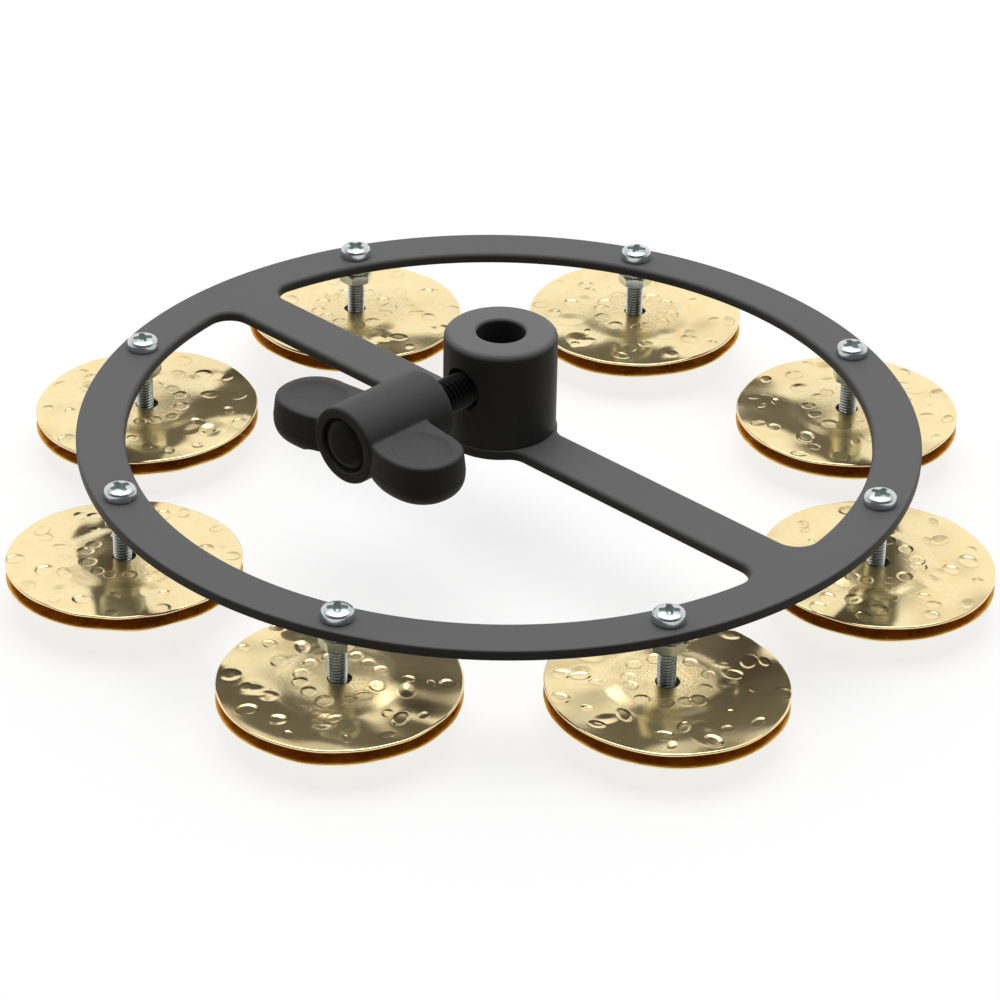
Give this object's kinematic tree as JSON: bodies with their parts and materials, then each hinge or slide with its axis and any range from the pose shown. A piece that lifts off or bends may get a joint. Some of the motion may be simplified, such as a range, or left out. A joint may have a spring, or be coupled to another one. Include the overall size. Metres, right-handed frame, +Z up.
{
  "type": "hi-hat tambourine",
  "caption": "Flat black ring with a crossbar and a clamp hub for a hi-hat rod, with pairs of hammered brass jingles that ride loose on screws under the ring.",
  "frame": {"origin": "on the hub's axis, level with the tips of the jingle screws, on which the part stands", "axes": "+Z up along the hub's bore, +X along the crossbar, the wing bolt comes out towards -Y"},
  "size_m": [0.2126, 0.2126, 0.048],
  "materials": {
    "frame_paint": "satin black powder coat",
    "hub_paint": "satin black powder coat",
    "black_steel": "black oxide",
    "wing_moulding": "fine moulded grain",
    "zinc_screw": "bright zinc plate",
    "zinc_washer": "bright zinc plate",
    "zinc_nut": "bright zinc plate",
    "jingle_brass": "polished, hammered by hand",
    "spacer_nylon": "plain"
  },
  "bodies": {
    "frame": {"frame_plate": "frame_paint", "hub": "hub_paint", "screw_1": "zinc_screw", "washers_1": "zinc_washer", "hex_nut_1": "zinc_nut", "lock_nut_1": "zinc_nut", "screw_2": "zinc_screw", "washers_2": "zinc_washer", "hex_nut_2": "zinc_nut", "lock_nut_2": "zinc_nut", "screw_3": "zinc_screw", "washers_3": "zinc_washer", "hex_nut_3": "zinc_nut", "lock_nut_3": "zinc_nut", "screw_4": "zinc_screw", "washers_4": "zinc_washer", "hex_nut_4": "zinc_nut", "lock_nut_4": "zinc_nut", "screw_5": "zinc_screw", "washers_5": "zinc_washer", "hex_nut_5": "zinc_nut", "lock_nut_5": "zinc_nut", "screw_6": "zinc_screw", "washers_6": "zinc_washer", "hex_nut_6": "zinc_nut", "lock_nut_6": "zinc_nut", "screw_7": "zinc_screw", "washers_7": "zinc_washer", "hex_nut_7": "zinc_nut", "lock_nut_7": "zinc_nut", "screw_8": "zinc_screw", "washers_8": "zinc_washer", "hex_nut_8": "zinc_nut", "lock_nut_8": "zinc_nut"},
    "clamp_bolt": {"clamp_bolt": "black_steel"},
    "wing": {"wing_handle": "wing_moulding"},
    "lower_jingle_1": {"jingle_lower_1": "jingle_brass"},
    "spacer_1": {"jingle_spacer_1": "spacer_nylon"},
    "upper_jingle_1": {"jingle_upper_1": "jingle_brass"},
    "lower_jingle_2": {"jingle_lower_2": "jingle_brass"},
    "spacer_2": {"jingle_spacer_2": "spacer_nylon"},
    "upper_jingle_2": {"jingle_upper_2": "jingle_brass"},
    "lower_jingle_3": {"jingle_lower_3": "jingle_brass"},
    "spacer_3": {"jingle_spacer_3": "spacer_nylon"},
    "upper_jingle_3": {"jingle_upper_3": "jingle_brass"},
    "lower_jingle_4": {"jingle_lower_4": "jingle_brass"},
    "spacer_4": {"jingle_spacer_4": "spacer_nylon"},
    "upper_jingle_4": {"jingle_upper_4": "jingle_brass"},
    "lower_jingle_5": {"jingle_lower_5": "jingle_brass"},
    "spacer_5": {"jingle_spacer_5": "spacer_nylon"},
    "upper_jingle_5": {"jingle_upper_5": "jingle_brass"},
    "lower_jingle_6": {"jingle_lower_6": "jingle_brass"},
    "spacer_6": {"jingle_spacer_6": "spacer_nylon"},
    "upper_jingle_6": {"jingle_upper_6": "jingle_brass"},
    "lower_jingle_7": {"jingle_lower_7": "jingle_brass"},
    "spacer_7": {"jingle_spacer_7": "spacer_nylon"},
    "upper_jingle_7": {"jingle_upper_7": "jingle_brass"},
    "lower_jingle_8": {"jingle_lower_8": "jingle_brass"},
    "spacer_8": {"jingle_spacer_8": "spacer_nylon"},
    "upper_jingle_8": {"jingle_upper_8": "jingle_brass"}
  },
  "joints": [
    {"name": "bolt_travel", "type": "slide", "parent": "frame", "child": "clamp_bolt", "axis": [0, 1, 0], "range_m": [-0.00344, 0.00844]},
    {"name": "wing_turn", "type": "hinge", "parent": "clamp_bolt", "child": "wing", "pos_m": [0, -0.035, 0.03785], "axis": [0, 1, 0], "range_deg": [-990, 2430]},
    {"name": "pair_lift_1", "type": "slide", "parent": "frame", "child": "lower_jingle_1", "axis": [0, 0, 1], "range_m": [0, 0.0035]},
    {"name": "pair_part_1", "type": "slide", "parent": "lower_jingle_1", "child": "spacer_1", "axis": [0, 0, 1], "range_m": [0, 0.004]},
    {"name": "jingle_spin_1", "type": "hinge", "parent": "spacer_1", "child": "upper_jingle_1", "pos_m": [0.08093, 0.03352, 0.0103], "axis": [0, 0, 1], "continuous": true},
    {"name": "pair_lift_2", "type": "slide", "parent": "frame", "child": "lower_jingle_2", "axis": [0, 0, 1], "range_m": [0, 0.0035]},
    {"name": "pair_part_2", "type": "slide", "parent": "lower_jingle_2", "child": "spacer_2", "axis": [0, 0, 1], "range_m": [0, 0.004]},
    {"name": "jingle_spin_2", "type": "hinge", "parent": "spacer_2", "child": "upper_jingle_2", "pos_m": [0.03352, 0.08093, 0.0103], "axis": [0, 0, 1], "continuous": true},
    {"name": "pair_lift_3", "type": "slide", "parent": "frame", "child": "lower_jingle_3", "axis": [0, 0, 1], "range_m": [0, 0.0035]},
    {"name": "pair_part_3", "type": "slide", "parent": "lower_jingle_3", "child": "spacer_3", "axis": [0, 0, 1], "range_m": [0, 0.004]},
    {"name": "jingle_spin_3", "type": "hinge", "parent": "spacer_3", "child": "upper_jingle_3", "pos_m": [-0.03352, 0.08093, 0.0103], "axis": [0, 0, 1], "continuous": true},
    {"name": "pair_lift_4", "type": "slide", "parent": "frame", "child": "lower_jingle_4", "axis": [0, 0, 1], "range_m": [0, 0.0035]},
    {"name": "pair_part_4", "type": "slide", "parent": "lower_jingle_4", "child": "spacer_4", "axis": [0, 0, 1], "range_m": [0, 0.004]},
    {"name": "jingle_spin_4", "type": "hinge", "parent": "spacer_4", "child": "upper_jingle_4", "pos_m": [-0.08093, 0.03352, 0.0103], "axis": [0, 0, 1], "continuous": true},
    {"name": "pair_lift_5", "type": "slide", "parent": "frame", "child": "lower_jingle_5", "axis": [0, 0, 1], "range_m": [0, 0.0035]},
    {"name": "pair_part_5", "type": "slide", "parent": "lower_jingle_5", "child": "spacer_5", "axis": [0, 0, 1], "range_m": [0, 0.004]},
    {"name": "jingle_spin_5", "type": "hinge", "parent": "spacer_5", "child": "upper_jingle_5", "pos_m": [-0.08093, -0.03352, 0.0103], "axis": [0, 0, 1], "continuous": true},
    {"name": "pair_lift_6", "type": "slide", "parent": "frame", "child": "lower_jingle_6", "axis": [0, 0, 1], "range_m": [0, 0.0035]},
    {"name": "pair_part_6", "type": "slide", "parent": "lower_jingle_6", "child": "spacer_6", "axis": [0, 0, 1], "range_m": [0, 0.004]},
    {"name": "jingle_spin_6", "type": "hinge", "parent": "spacer_6", "child": "upper_jingle_6", "pos_m": [-0.03352, -0.08093, 0.0103], "axis": [0, 0, 1], "continuous": true},
    {"name": "pair_lift_7", "type": "slide", "parent": "frame", "child": "lower_jingle_7", "axis": [0, 0, 1], "range_m": [0, 0.0035]},
    {"name": "pair_part_7", "type": "slide", "parent": "lower_jingle_7", "child": "spacer_7", "axis": [0, 0, 1], "range_m": [0, 0.004]},
    {"name": "jingle_spin_7", "type": "hinge", "parent": "spacer_7", "child": "upper_jingle_7", "pos_m": [0.03352, -0.08093, 0.0103], "axis": [0, 0, 1], "continuous": true},
    {"name": "pair_lift_8", "type": "slide", "parent": "frame", "child": "lower_jingle_8", "axis": [0, 0, 1], "range_m": [0, 0.0035]},
    {"name": "pair_part_8", "type": "slide", "parent": "lower_jingle_8", "child": "spacer_8", "axis": [0, 0, 1], "range_m": [0, 0.004]},
    {"name": "jingle_spin_8", "type": "hinge", "parent": "spacer_8", "child": "upper_jingle_8", "pos_m": [0.08093, -0.03352, 0.0103], "axis": [0, 0, 1], "continuous": true}
  ],
  "couplings": [
    {"joint": "wing_turn", "follows": "bolt_travel", "rad_per_m": 5026.5}
  ]
}
